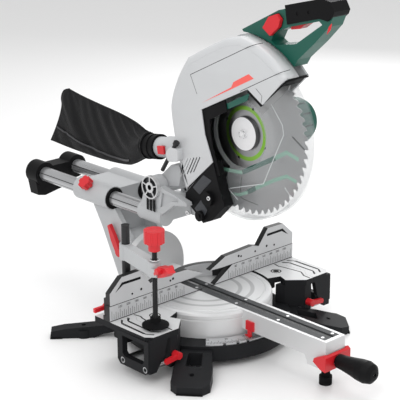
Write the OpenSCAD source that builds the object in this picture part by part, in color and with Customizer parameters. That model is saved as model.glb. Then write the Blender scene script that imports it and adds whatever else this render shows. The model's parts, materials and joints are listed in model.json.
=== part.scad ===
/* [Blade] */
// Diameter of the saw blade
blade_d = 305; // [300:1:305]
// Thickness of the blade's body
blade_t = 2.2; // [1.8:0.1:2.6]
// Number of teeth on the blade
tooth_count = 56; // [40:2:64]

/* [Table] */
// Height of the table's top above the bench
table_z = 95; // [95:1:97]
// Half of the length of the fence
fence_half = 245; // [242:1:247]
// Height of the fixed fence above the table
fence_h = 31; // [29:1:32]
// Thickness of the fence
fence_t = 12; // [10:0.5:12]
// Radius of the turntable
turntable_r = 129; // [127:1:129.5]
// Radius of the base ring
base_r = 166; // [165:1:168]
// Gap between the edges of the two kerf inserts
kerf_gap = 11.5; // [11:0.5:12]

/* [Slide] */
// Height of the slide rails' axes above the table
rail_z = 141; // [140:1:142]
// Distance of each rail from the blade's plane
rail_x = 43; // [42:0.5:44]
// Radius of the slide rails
rail_r = 15; // [14:0.5:15]

/* [Head] */
// Height of the head's pivot above the table
pivot_z = 200; // [199:1:201]
// Distance of the head's pivot behind the fence
pivot_y = 90; // [89:1:91]
// Height of the blade's centre above the table with the head up
arbor_z = 335; // [334:1:336]
// Distance of the blade's centre in front of the fence with the head up
arbor_y = 106.5; // [106:0.5:107]

/* [Hidden] */
$fn = 48;
blade_r = blade_d / 2;
top = table_z;
skin = 12;
gap = 0.3;
run = 0.05;
rail_top = top + rail_z;
pivot = [0, pivot_y, top + pivot_z];
arbor = [0, -arbor_y, top + arbor_z];
deck_z = 44;
groove_r = turntable_r - 15;
boss_r = 20;
tube_r = 6;
tube_z = 31;
tube_front = -96;
tube_rear = -34;
bolt_x = 185;
bolt_y = 156;
leg_angle = atan2(bolt_y, bolt_x);
front_toe = 280;
rear_toe = 306;
post = [-180, 28];
screw = [-201, -77];
swing = atan2(screw.y - post.y, screw.x - post.x);
reach = norm(screw - post);
guard_r = 160;
guard_left = -15;
guard_right = 13;
pin_r = 8;
post_r = 8;
shank_r = 4;
ext_lock_z = 46;
fence_lock_z = top + 18;
grip_z = 55;
detent_at = [-313, 56];
trigger_at = [-211, 651];
quick = [reach + 18.5, 209];
catch_pin = [110, rail_top + 26];
bevel_lever_at = [200, top + 34];
chute_start = 8;
charcoal = [0.13, 0.13, 0.14];
silver = [0.78, 0.79, 0.8];
red = [0.85, 0.12, 0.12];
black = [0.05, 0.05, 0.06];
green = [0.0, 0.28, 0.2];

// A profile drawn in Y and Z, standing from x0 to x1
module across(x0, x1) {
    translate([x0, 0, 0]) rotate([90, 0, 90]) linear_extrude(x1 - x0) children();
}
// A profile drawn in X and Z, standing from y0 to y1
module along(y0, y1) {
    translate([0, y1, 0]) rotate([90, 0, 0]) linear_extrude(y1 - y0) children();
}
// A profile drawn in X and Y, standing from z0 to z1
module plate(z0, z1) {
    translate([0, 0, z0]) linear_extrude(z1 - z0) children();
}
module box(low, high) {
    translate(low) cube(high - low);
}
module rod_x(x0, x1, y, z, r) {
    translate([x0, y, z]) rotate([0, 90, 0]) cylinder(h = x1 - x0, r = r);
}
module rod_y(y0, y1, x, z, r) {
    translate([x, y0, z]) rotate([-90, 0, 0]) cylinder(h = y1 - y0, r = r);
}
module rod_z(z0, z1, x, y, r) {
    translate([x, y, z0]) cylinder(h = z1 - z0, r = r);
}
module mirrored() {
    children();
    mirror([1, 0, 0]) children();
}
// A point on a circle around the blade's centre, as Y and Z, at an angle up from the front
function around(r, a) = [arbor.y - r * cos(a), arbor.z + r * sin(a)];
function arc(r, a0, a1, steps) = [for (i = [0:steps]) around(r, a0 + (a1 - a0) * i / steps)];

/* ---- Base ---- */
// One splayed leg in its own vertical plane: radius and height
module leg(angle, root, toe, half) {
    rotate(angle) translate([0, half, 0]) rotate([90, 0, 0]) linear_extrude(2 * half)
        polygon(concat([[150, 14]], root, [[toe - 26, 20], [toe, 15], [toe, 3], [toe - 4, 0],
            [222, 0], [204, 8], [166, 14]]));
}
// The broad front legs, seen from above, with the opening between their two struts
module front_leg_plan() {
    rotate(-leg_angle) difference() {
        polygon([[140, -29], [176, -29], [222, -36], [front_toe - 16, -36],
            [front_toe + 1, -22], [front_toe + 1, 22], [front_toe - 16, 36], [222, 36],
            [176, 29], [140, 29]]);
        polygon([[180, -13], [219, -15], [219, 15], [180, 13]]);
    }
}
// The rear legs stay low, because the tilting arm swings over them
module legs() {
    mirrored() {
        intersection() {
            leg(-leg_angle, [[150, 38], [182, 38]], front_toe, 38);
            plate(-1, 60) front_leg_plan();
        }
        leg(leg_angle, [[150, 27], [190, 27]], rear_toe, 13);
    }
}
module pad(angle, toe, half) {
    rotate(angle) box([toe - 22, -half, 0], [toe + 2, half, 3]);
}
module side_support() {
    plate(22, top - skin) polygon([[-190, -104], [-172, -104], [-141, -78], [-133, -60],
        [-190, -60]]);
    box([-200, 6, 38], [-146, 44, top - skin]);
    rod_x(-172, -126, tube_rear, tube_z, 11);
}
module base_casting() {
    color(charcoal) difference() {
        union() {
            rotate_extrude($fn = 96) polygon([[0, 14], [34, 14], [34, 39], [base_r - 6, 39],
                [base_r - 6, 14], [base_r, 14], [base_r, deck_z], [0, deck_z]]);
            legs();
            mirrored() side_support();
            for (x = [-1, 1], y = [-1, 1]) rod_z(0, 16, x * bolt_x, y * bolt_y, 17);
        }
        foot_pads();
        rod_z(25, deck_z + 1, 0, 0, boss_r + run);
        for (x = [-1, 1], y = [-1, 1]) rod_z(-1, 30, x * bolt_x, y * bolt_y, 4.5);
        mirrored() for (y = [tube_front, tube_rear]) rod_x(-200, -10, y, tube_z, tube_r + run);
        mirrored() {
            rod_z(30, top, post.x, post.y, post_r + run);
            rod_y(-105, -82, -180, ext_lock_z, shank_r + run);
        }
    }
}
module foot_pads() {
    color(black) mirrored() {
        pad(-leg_angle, front_toe, 24);
        pad(leg_angle, rear_toe, 15);
    }
}
// The scale ring lies on the deck in front, between the two tables
module mitre_scale() {
    color(silver) plate(deck_z, deck_z + 3) difference() {
        intersection() {
            circle(r = 163, $fn = 96);
            polygon([[0, 0], [-230, -238], [230, -238]]);
        }
        circle(r = 134, $fn = 96);
        for (a = [-31.6, -22.5, -15, 0, 15, 22.5, 31.6]) rotate(a)
            translate([-3, -170]) square([6, 12]);
    }
}

/* ---- Tables ---- */
seam = [[-191, 0], [-194, -17], [-201, -22], [-206, -70], [-193, -87], [-193, -107]];
function shifted(points, dx) = [for (p = points) [p.x + dx, p.y]];
module fixed_table() {
    color(charcoal) difference() {
        plate(top - skin, top) difference() {
            union() {
                polygon(concat(shifted(seam, gap), [[-172, -107], [-141, -79], [-149, -58],
                    [-100, -40], [-100, 0]]));
                translate([-fence_half, 0]) square([140, 44]);
            }
            circle(r = turntable_r + 2.5, $fn = 96);
        }
        rod_z(top - skin - 1, top + 1, post.x, post.y, post_r + run);
        rod_z(top - skin - 1, top + 1, -163, -32, 5);
    }
}
module table_left() {
    fixed_table();
}
module table_right() {
    mirror([1, 0, 0]) fixed_table();
}
// The sliding end of a table: comb-grooved top, front wall, window frame and rail
module extension() {
    color(charcoal) difference() {
        union() {
            plate(top - skin, top) polygon(concat([[-191, -gap]],
                [for (i = [1:len(seam) - 1]) seam[i]],
                [[-232, -107], [-243, -95], [-fence_half, -gap]]));
            across(-fence_half, -fence_half + 12) difference() {
                polygon([[-106, 88], [-106, 34], [-98, 22], [-28, 22], [-20, 30], [-20, 88]]);
                polygon([[-94, 80], [-94, 46], [-88, 40], [-40, 40], [-34, 46], [-34, 80]]);
            }
            along(-106.5, -97) polygon([[-242, 24], [-242, 90], [-196, 90], [-206, 52],
                [-226, 24]]);
        }
        for (line = [[-207, -219], [-223, -235]]) plate(top - 1.5, top + 1)
            polygon([[line[0], -9], [line[1], -20], [line[1], -82], [line[0], -97],
                [line[0] + 2, -97], [line[1] + 2, -81], [line[1] + 2, -21], [line[0] + 2, -9]]);
        for (y = [tube_front, tube_rear]) rod_x(-260, -190, y, tube_z, tube_r + run);
    }
}
module extension_left() {
    extension();
}
module extension_right() {
    mirror([1, 0, 0]) extension();
}
module extension_tubes() {
    color(silver) for (y = [tube_front, tube_rear]) difference() {
        rod_x(-fence_half + 0.5, -24, y, tube_z, tube_r);
        rod_x(-fence_half - 1, -23, y, tube_z, tube_r - 2);
    }
}
module extension_tubes_left() {
    extension_tubes();
}
module extension_tubes_right() {
    mirror([1, 0, 0]) extension_tubes();
}
// A clamping screw with a flat red handle, in front of the side support
module extension_lock() {
    color(red) {
        rod_y(-119, -104.3, -180, ext_lock_z, 7);
        rod_y(-104.3, -84, -180, ext_lock_z, shank_r);
        along(-118, -112) polygon([[-180, 41], [-211, 38], [-213, 43], [-211, 47], [-180, 51]]);
    }
}
module extension_lock_left() {
    extension_lock();
}
module extension_lock_right() {
    mirror([1, 0, 0]) extension_lock();
}

/* ---- Fence ---- */
module fence_half_profile() {
    polygon([[-fence_half, top], [-fence_half, top + fence_h], [-72, top + fence_h],
        [-22, top + 1], [-22, top]]);
}
module bow() {
    plate(top + gap, top + 28) intersection() {
        difference() {
            translate([0, -30]) circle(r = 97, $fn = 96);
            translate([0, -30]) circle(r = 86, $fn = 96);
        }
        translate([-90, 22]) square([180, 60]);
    }
}
module fence_fixed() {
    color(silver) difference() {
        union() {
            mirrored() {
                along(0, fence_t) fence_half_profile();
                box([-fence_half, fence_t, top], [-110, 19, top + 9]);
                box([-160, fence_t, top + gap], [-70, 44, top + 9]);
                box([-240, fence_t + 6, top], [-216, fence_t + 9, top + 27]);
            }
            bow();
        }
        mirrored() rod_y(fence_t + 5, fence_t + 10, -228, fence_lock_z, shank_r + run);
        for (x = [-120, 120]) rod_z(top - 1, top + 20, x, 32, 4.5);
    }
}
module fence_slide(side) {
    bottom = top + fence_h + gap;
    color(silver) mirror([side, 0, 0]) {
        difference() {
            along(0, fence_t) polygon([[-40, bottom], [-9, top + 33.5], [-51, top + 52],
                [-128, top + 55], [-145, top + 50], [-171, top + 82], [-215, top + 81],
                [-fence_half + 1, top + 55], [-fence_half + 1, bottom]]);
            for (x = [-95, -135, -190]) rod_y(-1, fence_t + 1, x, bottom + 10, 2.2);
        }
        box([-fence_half + 1, fence_t, bottom], [-75, fence_t + 5.5, bottom + 12]);
        box([-fence_half + 1, fence_t + gap, top + 12], [-75, fence_t + 5.5, bottom]);
    }
}
module fence_slide_left() {
    fence_slide(0);
}
module fence_slide_right() {
    fence_slide(1);
}
// The fence's clamping lever stands behind its outer end
module fence_lock() {
    color(red) {
        rod_y(fence_t + 9.3, 34, -228, fence_lock_z, 7);
        rod_y(fence_t + 6, fence_t + 9.3, -228, fence_lock_z, shank_r);
        box([-258, 26, fence_lock_z - 4], [-228, 32, fence_lock_z + 4]);
    }
}
module fence_lock_left() {
    fence_lock();
}
module fence_lock_right() {
    mirror([1, 0, 0]) fence_lock();
}

/* ---- Workpiece clamp ---- */
module clamp_post() {
    color(black) rod_z(32, 263, post.x, post.y, post_r);
}
// In the clamp arm's own frame X runs from the post to the screw
module in_clamp_frame() {
    translate([post.x, post.y, 0]) rotate(swing) children();
}
module clamp_arm() {
    color(silver) in_clamp_frame() difference() {
        union() {
            rod_z(196, 226, 0, 0, 12);
            translate([0, -9, 197]) cube([reach, 18, 28]);
            rod_z(198, 225, reach, 0, 12);
            for (y = [-11.4, 8.4]) box([reach, y, 203], [quick[0] + 5.5, y + 3, 216]);
        }
        rod_z(190, 230, 0, 0, post_r + run);
        rod_z(190, 230, reach, 0, 5 + run);
        rod_y(-12, 12, quick[0], quick[1], 3 + run);
    }
}
// Winged red lever on the end of the arm
module clamp_quick_lever() {
    color(red) in_clamp_frame() {
        along(-8, 8) polygon([quick + [0, -6], quick + [0, 6], quick + [6, 15],
            quick + [30, 19], quick + [42, 13], quick + [26, 1], quick + [8, -6]]);
        rod_y(-8, 8, quick[0], quick[1], 6);
        rod_y(-11.4, 11.4, quick[0], quick[1], 3);
        rod_y(-17, 17, quick[0] + 15.5, quick[1] + 10, 6);
    }
}
module clamp_screw() {
    color(black) rod_z(104, 252, screw.x, screw.y, 5);
}
module clamp_knob() {
    color(red) difference() {
        union() {
            rod_z(261, 285, screw.x, screw.y, 19);
            rod_z(246, 261, screw.x, screw.y, 11);
        }
        rod_z(240, 252, screw.x, screw.y, 5);
        for (a = [0:36:324]) translate([screw.x, screw.y, 259]) rotate(a)
            translate([21, 0, 0]) cylinder(h = 40, r = 3.2);
    }
}
module clamp_pad() {
    color(charcoal) translate([screw.x, screw.y, 0]) difference() {
        rotate_extrude() polygon([[0, 101], [25, 101], [25, 103], [10, 108], [10, 116],
            [0, 116]]);
        rod_z(104, 120, 0, 0, 5);
    }
}

/* ---- Turntable ---- */
module turntable() {
    color(silver) difference() {
        union() {
            rotate_extrude($fn = 96) polygon([[0, 30], [boss_r, 30], [boss_r, deck_z + gap],
                [36, deck_z + gap], [36, top - 10], [turntable_r - 7, top - 10],
                [turntable_r - 7, deck_z + gap], [turntable_r, deck_z + gap],
                [turntable_r, top - 16], [turntable_r - 1.5, top - 15],
                [turntable_r - 1.5, top - 13], [turntable_r, top - 12],
                [turntable_r, top - 6], [turntable_r - 1.8, top - 1.8],
                [turntable_r - 6, top], [groove_r + 2, top], [groove_r + 1, top - 1.2],
                [groove_r - 1, top - 1.2], [groove_r - 2, top], [0, top]]);
            along(-335, -60) polygon([[-26, 57], [-26, top], [26, top], [26, 57]]);
            across(-26, 26) polygon([[-335, 40], [-335, 60], [-284, 60], [-292, 40]]);
            along(100, 151) polygon([[-50, 50], [-50, top - 3], [50, top - 3], [50, 50]]);
            along(151, 166) intersection() {
                translate([0, top]) circle(r = 78, $fn = 96);
                translate([-80, 50]) square([160, 140]);
            }
        }
        box([-20, -327, top - 4], [20, 106, top + 1]);
        box([-8, -325, 72], [13, 30, top]);
        rod_y(140, 170, 0, top, 10);
        rod_z(30, 60, 0, -314, 8 + run);
        rod_y(-336, -324, 0, grip_z, 7 + run);
        rod_x(-27, 27, detent_at.x, detent_at.y, 3 + run);
        box([-18, 20, 60], [18, 110, top - 12]);
        box([-22, -325, 50], [-12, -140, top - 12]);
        box([16, -325, 50], [22, -140, top - 12]);
    }
}
module kerf_inserts() {
    color([0.25, 0.26, 0.28]) {
        box([-19.7, -326.7, top - 4], [2.25 - kerf_gap / 2, 105, top - 0.4]);
        box([2.25 + kerf_gap / 2, -326.7, top - 4], [19.7, 105, top - 0.4]);
    }
}
module insert_screws() {
    color("white") for (y = [-315, -205, -95, 15], x = [-12, 14])
        rod_z(top - 0.4, top - 0.1, x, y, 3);
}
module mitre_pointer() {
    color(red) {
        box([-30, -158, 60], [-26, -138, 78]);
        box([-31, -152, deck_z + 4], [-27, -144, 60]);
        plate(deck_z + 4, deck_z + 6) polygon([[-34, -152], [-26, -152], [-30, -136]]);
    }
}
module mitre_grip() {
    color(black) translate([0, -337, grip_z]) rotate([90, 0, 0]) difference() {
        rotate_extrude() polygon([[0, -12.5], [7, -12.5], [7, 8], [13, 8], [14, 20],
            [16.5, 38], [20, 58], [21, 72], [18, 84], [11, 90], [0, 92]]);
        translate([0, 0, 80]) cylinder(h = 20, r = 4);
    }
}
// Butterfly lever under the end of the arm, one wing on each side
module detent_lever() {
    color(red) difference() {
        across(-34, 34) polygon([[-342, 41], [-342, 68], [-336, 72], [-316, 62], [-312, 54],
            [-330, 43]]);
        box([-26.4, -337.2, 30], [26.4, -290, 80]);
        rod_y(-343, -335, 0, grip_z, 10.5);
    }
    color(red) mirrored() rod_x(22.5, 30, detent_at.x, detent_at.y, 3);
}
module arm_foot() {
    color(black) {
        rod_z(0, 16, 0, -314, 12);
        rod_z(16, 52, 0, -314, 8);
    }
}
module bevel_scale() {
    color("white") along(166, 167) intersection() {
        difference() {
            translate([0, top]) circle(r = 77, $fn = 96);
            translate([0, top]) circle(r = 66, $fn = 96);
        }
        polygon([[0, top], [-90, top + 30], [-90, top + 90], [30, top + 90]]);
    }
}

/* ---- Tilting arm and guide block ---- */
module tilt_arm() {
    color(silver) difference() {
        union() {
            along(167.3, 184) translate([0, top]) circle(r = 64, $fn = 96);
            across(-45, 45) polygon([[181, top - 40], [169, top + 36], [171, top + 61],
                [229, rail_top - 13], [299, rail_top - 13], [262, top + 70], [219, top - 13],
                [205, top - 40]]);
            for (x = [-rail_x, rail_x]) rod_y(226, 330, x, rail_top, 24);
            box([-rail_x + 2, 227, rail_top - 21], [rail_x - 2, 329, rail_top + 18]);
        }
        for (x = [-rail_x, rail_x]) {
            rod_y(225, 331, x, rail_top, rail_r + 3);
            rod_y(200, 226, x, rail_top, rail_r + 6.3);
        }
        rod_y(160, 250, 0, top, 10);
        rod_y(221.5, 260, 0, top, 17);
        box([-34, 160, top + 66], [34, 222, rail_top - 26]);
        on_lock_axis() translate([0, 0, 12]) cylinder(h = 30, r = 5);
        rod_x(-50, -30, bevel_lever_at.x, bevel_lever_at.y, shank_r + run);
    }
}
module rail_bushes() {
    color(black) for (x = [-rail_x, rail_x], y = [224, 308]) difference() {
        union() {
            rod_y(y, y + 20, x, rail_top, rail_r + 3);
            if (y < 300) rod_y(y, y + 2, x, rail_top, rail_r + 6);
        }
        rod_y(y - 1, y + 21, x, rail_top, rail_r + run);
    }
}
module bevel_bolt() {
    color(silver) {
        rod_y(152, 222, 0, top, 9.95);
        translate([0, 222, top]) rotate([-90, 0, 0]) cylinder(h = 10, r = 15, $fn = 6);
    }
}
// Curved red lever that clamps the tilt, on the left of the arm
module bevel_lever() {
    color(red) {
        rod_x(-58, -45.3, bevel_lever_at.x, bevel_lever_at.y, 9);
        rod_x(-45.3, -31, bevel_lever_at.x, bevel_lever_at.y, shank_r);
        across(-58, -50) polygon([[196, top + 28], [204, top + 26], [222, top + 56],
            [232, top + 84], [226, top + 88], [212, top + 68], [198, top + 42]]);
    }
}
// The rail lock's screw points up and to the left, at right angles to the rail
module on_lock_axis() {
    translate([-rail_x, 286, rail_top]) rotate([0, -45, 0]) children();
}
module slide_lock_knob() {
    color(red) on_lock_axis() {
        difference() {
            translate([0, 0, 27]) cylinder(h = 14, r = 14);
            for (a = [0:60:300]) rotate(a) translate([16.5, 0, 26]) cylinder(h = 16, r = 5);
        }
        translate([0, 0, 17.5]) cylinder(h = 9.5, r = 4.9);
    }
}

/* ---- Carriage ---- */
module slide_rails() {
    color(silver) for (x = [-rail_x, rail_x]) difference() {
        rod_y(70, 462, x, rail_top, rail_r);
        rod_y(69, 463, x, rail_top, rail_r - 3);
    }
}
module rail_end_cap() {
    color(black) difference() {
        union() {
            for (x = [-rail_x, rail_x]) rod_y(455.5, 492, x, rail_top, 25);
            box([-rail_x, 455.5, rail_top - 24], [rail_x, 492, rail_top + 14]);
            along(462, 490) polygon([[-66, rail_top - 4], [-58, rail_top - 46],
                [-40, rail_top - 50], [40, rail_top - 36], [60, rail_top - 4]]);
        }
        for (x = [-rail_x, rail_x]) rod_y(454, 462, x, rail_top, rail_r);
    }
}
// Two rail sleeves, a bridge, and two ears that hold the head's pivot pin
module carriage() {
    color(silver) difference() {
        union() {
            for (x = [-rail_x, rail_x]) rod_y(66, 133, x, rail_top, 19);
            box([-rail_x, 70, rail_top - 12], [rail_x, 132, rail_top + 16]);
            for (x = [[-58, -36], [46, 60]]) across(x[0], x[1]) union() {
                polygon([[70, rail_top], [72, pivot.z - 4], [78, pivot.z + 12],
                    [102, pivot.z + 12], [114, pivot.z - 8], [130, rail_top]]);
                translate([pivot.y, pivot.z]) circle(r = 21);
            }
            across(-58, -44) polygon([[80, rail_top + 14], [74, pivot.z + 5], [30, pivot.z - 3],
                [-6, pivot.z - 11], [-8, pivot.z - 17], [30, pivot.z - 24], [66, rail_top + 6]]);
        }
        for (x = [-rail_x, rail_x]) rod_y(70, 134, x, rail_top, rail_r);
        rod_x(-70, 70, pivot.y, pivot.z, pin_r + run);
        rod_x(40, 70, catch_pin.x, catch_pin.y, shank_r + run);
        across(-60, -54) polygon([[68, rail_top + 22], [62, pivot.z - 6], [16, pivot.z - 8],
            [16, pivot.z - 14], [36, pivot.z - 18]]);
    }
}
module spoked_disc() {
    difference() {
        rod_x(-66, -58.3, pivot.y, pivot.z, 23);
        difference() {
            rod_x(-67, -61, pivot.y, pivot.z, 20.5);
            rod_x(-68, -60, pivot.y, pivot.z, 10.5);
            for (a = [18:72:306]) translate([-68, pivot.y, pivot.z]) rotate([a, 0, 0])
                translate([0, 0, -1.2]) cube([9, 24, 2.4]);
        }
        rod_x(-67, -61, pivot.y, pivot.z, 5);
    }
}
module pivot_pin() {
    color(silver) {
        spoked_disc();
        rod_x(-58.3, 63, pivot.y, pivot.z, pin_r);
        rod_x(63, 68, pivot.y, pivot.z, 13);
    }
}
module transport_pin() {
    color(black) {
        rod_x(50, 76, catch_pin.x, catch_pin.y, shank_r);
        rod_x(76, 84, catch_pin.x, catch_pin.y, 8);
    }
}

/* ---- Saw head ---- */
// Outline of the upper guard's side, in Y and Z: rear, crown and nose
crown = arc(188, 84, 44, 8);
rear = [[19, 299], [43, 372], [58, 440], [56, 476], [37, 520], [12, 558], [-98, 613]];
// The rim's inner face stays outside the sweep of the lower guard, then of the blade
rim_inside = concat(arc(163, 86, 165, 9), arc(155.5, 169, 200, 3), [[14, 302]]);
stop_foot = [68, 332];
stop_tilt = 33;
module upper_guard() {
    color([0.85, 0.86, 0.87]) difference() {
        union() {
            across(-42, -38) difference() {
                polygon(concat([[17, 299], [38, 385], [52, 472], [11, 556], [-98, 613]], crown,
                    [[-187, 505], [-150, 527], [-31, 468], [-40, 422], [-61, 373]]));
                for (i = [0:4]) translate([26 - 9 * i, 326 + 4 * i]) rotate(28)
                    square([2.4, 46 - 2 * i]);
            }
            across(-38, -8) polygon(concat(rear, crown, [around(184, 44)],
                arc(184, 46, 86, 8), rim_inside));
            across(-38, guard_left - 2) polygon(concat(arc(184, 46, 44, 1), [[-187, 505],
                [-181, 503]]));
            across(-57, -41) polygon([[18, 360], [20, 384], [42, 384], [54, 370], [46, 354]]);
        }
        stop_rod(-30, 90, shank_r + run);
    }
}
// A round rod along the depth stop's axis
module stop_rod(start, end, r) {
    translate([-51, stop_foot.x, stop_foot.y]) rotate([stop_tilt, 0, 0])
        translate([0, 0, start]) cylinder(h = end - start, r = r);
}
// The right half of the guard with the gear case and the arm that reaches the pivot
module gear_housing() {
    color([0.7, 0.71, 0.73]) difference() {
        union() {
            across(17, 22) polygon(concat([[20, 300], [46, 372], [58, 440], [54, 476],
                [10, 550], [-98, 606]], arc(182, 84, 44, 6), [around(60, 44), around(60, 0),
                around(60, -60), [-60, 330]]));
            across(-7.7, 17) polygon(concat(rear, [around(188, 84), around(182, 84)],
                rim_inside));
            rod_x(22, 46, arbor.y, arbor.z, 42);
            across(22, 45) polygon([[-90, 392], [-60, 360], [62, 281], [pivot.y, pivot.z - 18],
                [pivot.y, pivot.z + 20], [66, 330], [40, 420], [-80, 468]]);
            rod_x(-35.5, 45.5, pivot.y, pivot.z, 19);
            across(-34, 45.5) polygon([[40, 303], [34, 330], [40, 344], [62, 340],
                [98, pivot.z + 12], [84, pivot.z - 4]]);
        }
        rod_x(-40, 50, pivot.y, pivot.z, pin_r + run);
        rod_x(10, 42, arbor.y, arbor.z, 12 + run);
    }
}
module motor_housing() {
    color(green) difference() {
        union() {
            rod_x(46, 138, arbor.y, arbor.z, 44);
            rod_x(138, 150, arbor.y, arbor.z, 38);
            box([60, -90, 412], [112, 44, 470]);
        }
        for (a = [0:30:330]) translate([arbor.x, arbor.y, arbor.z]) rotate([a, 0, 0])
            translate([110, 34, -2]) cube([22, 12, 4]);
    }
}
module battery_pack() {
    color(black) union() {
        box([52, 44.3, 372], [120, 118, 462]);
        box([58, 118, 380], [114, 126, 440]);
    }
}
// D-shaped main handle, in Y and Z
handle_outline = [[-100, 622], [-112, 610], [-150, 600], [-196, 574], [-226, 572],
    [-236, 588], [-274, 622], [-306, 655], [-316, 678], [-306, 692], [-290, 696],
    [-189, 668]];
module handle() {
    color(green) difference() {
        across(-6, 28) polygon(handle_outline);
        rod_x(-10, 40, arbor.y, arbor.z, 188.3);
        across(-7, -2) polygon([[-156.5, 633.5], [-176, 620.5], [-197.5, 639.5], [-201.5, 655],
            [-190, 663.5], [-171, 656.5]]);
        across(-7, 29) polygon([[-172, 612], [-182, 606], [-230, 614], [-290, 656],
            [-283, 661], [-215, 642], [-180, 628]]);
        across(1, 21) polygon([[-203, 630], [-203, 658], [-254, 671], [-254, 646]]);
        rod_x(-7, 29, -262, 671, 2);
        rod_x(-4, 26, trigger_at.x, trigger_at.y, 2 + run);
    }
}
module handle_grip() {
    color(black) difference() {
        across(-9, 31) polygon([[-212, 646], [-285, 666], [-304, 664], [-316, 674],
            [-319, 682], [-310, 697], [-291, 701], [-206, 679]]);
        across(-6, 28) polygon(handle_outline);
        for (y = [-236, -262]) rod_x(-10, -8, y, y < -250 ? 674 : 668, 3.5);
    }
}
module trigger() {
    color(black) {
        across(2, 20) polygon([[-208, 650], [-248, 660], [-246, 650], [-232, 640], [-212, 636]]);
        rod_x(-3, 25, trigger_at.x, trigger_at.y, 2);
    }
}
// Red release button let into the top left of the handle
module lock_button() {
    color(red) across(-14, -6.3) polygon([[-158, 634], [-176, 622], [-196, 640], [-200, 654],
        [-190, 662], [-172, 655]]);
}
module inner_cover() {
    color(black) {
        across(-41.6, -19) polygon([[-62, 373], [-44, 356], [13, 297], [14, 284], [-35, 248],
            [-59, 259], [-94, 295], [-80, 322]]);
        across(-37.7, -33) polygon([[-62, 373], [-41, 422], [-32, 464], [-20, 470],
            [10, 440], [30, 380], [12, 306]]);
    }
}
// The dust chute points backwards and a little down; Z runs along it from the guard
module in_chute_frame() {
    translate([-17, 45, 373]) rotate([-99, 0, 0]) children();
}
module dust_chute() {
    color(silver) difference() {
        in_chute_frame() difference() {
            union() {
                translate([0, 0, -chute_start]) cylinder(h = 108, r = 20);
                translate([0, 0, -chute_start]) cylinder(h = 48, r = 22);
            }
            translate([0, 0, 6]) cylinder(h = 95, r = 17);
            box([-24, -8.3, 27.7], [-19.8, 8.3, 46.3]);
        }
        across(-60, 30) polygon([[-20, 299], [19.3, 299], [43.3, 372], [58.3, 440], [58.3, 500],
            [-20, 500]]);
    }
}
module chute_button() {
    color(red) in_chute_frame() box([-27, -8, 28], [-22.3, 8, 46]);
}
module bag_collar() {
    color(black) in_chute_frame() difference() {
        union() for (i = [0:4]) {
            translate([0, 0, 66 + 8 * i]) cylinder(h = 8, r = i % 2 == 0 ? 25 : 23.5);
        }
        translate([0, 0, 60]) cylinder(h = 50, r = 20 + run);
    }
}
// Soft dust bag hanging behind the head, as a plain closed solid
module dust_bag() {
    color([0.1, 0.1, 0.11]) translate([-17, 0, 0]) hull() {
        translate([0, 152, 356]) rotate([-99, 0, 0]) cylinder(h = 4, r = 27, $fn = 32);
        translate([0, 215, 346]) sphere(r = 38, $fn = 24);
        translate([0, 345, 400]) rotate([0, 90, 0]) cylinder(h = 30, r = 34, center = true,
            $fn = 24);
        translate([0, 425, 332]) rotate([0, 90, 0]) cylinder(h = 44, r = 20, center = true,
            $fn = 24);
    }
}
module depth_stop() {
    color(black) {
        stop_rod(0, 70, shank_r);
        stop_rod(70, 76, 6);
    }
}
module guard_rollers() {
    color(charcoal) for (p = [[-51, 301, 14], [-30, 262, 10]]) {
        rod_x(-49, -41.6, p[0], p[1], p[2]);
        rod_x(-51, -49, p[0], p[1], 4);
    }
}
// Clear lower guard: two side plates joined by a rim, turning about the blade's centre
module lower_guard() {
    color([0.8, 0.85, 0.85, 0.4]) difference() {
        union() {
            across(guard_left, guard_left + 2.5) polygon(concat(arc(guard_r, -112, 42, 22),
                arc(66, 42, -112, 12)));
            across(guard_right - 2.5, guard_right) polygon(concat(arc(guard_r, -112, 42, 22),
                arc(66, 42, -112, 12)));
            across(guard_left, guard_right) polygon(concat(arc(guard_r, -112, 42, 22),
                arc(guard_r - 2.5, 42, -112, 22)));
            difference() {
                rod_x(guard_right - 2.5, guard_right, arbor.y, arbor.z, 68);
                rod_x(guard_right - 3, guard_right + 1, arbor.y, arbor.z, 52);
            }
            difference() {
                rod_x(guard_left, guard_left + 2.5, arbor.y, arbor.z, 70);
                rod_x(guard_left - 1, guard_left + 3, arbor.y, arbor.z, 62);
            }
        }
    }
}
function tooth(i) = let (step = 360 / tooth_count, a = i * step) [
    around(blade_r, a), around(blade_r - 2, a + step * 0.3),
    around(blade_r - 8, a + step * 0.62), around(blade_r - 9, a + step * 0.8),
    around(blade_r - 6, a + step * 0.93)];
module saw_blade() {
    color([0.66, 0.67, 0.68]) difference() {
        across(-blade_t / 2, blade_t / 2) polygon([for (i = [0:tooth_count - 1],
            p = tooth(i)) p]);
        rod_x(-5, 5, arbor.y, arbor.z, 15);
        for (a = [20:90:290]) translate([-2, arbor.y, arbor.z]) rotate([a, 0, 0])
            translate([0, 52, 0]) rotate([0, 90, 0]) cylinder(h = 4, r = 2.5);
    }
}
module blade_flange() {
    color("white") {
        rod_x(-7, -blade_t / 2, arbor.y, arbor.z, 32);
        rod_x(blade_t / 2, 9, arbor.y, arbor.z, 32);
        rod_x(-blade_t / 2, 40, arbor.y, arbor.z, 12);
        translate([-12, arbor.y, arbor.z]) rotate([0, 90, 0])
            cylinder(h = 5, r = 8, $fn = 6);
    }
}

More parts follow.
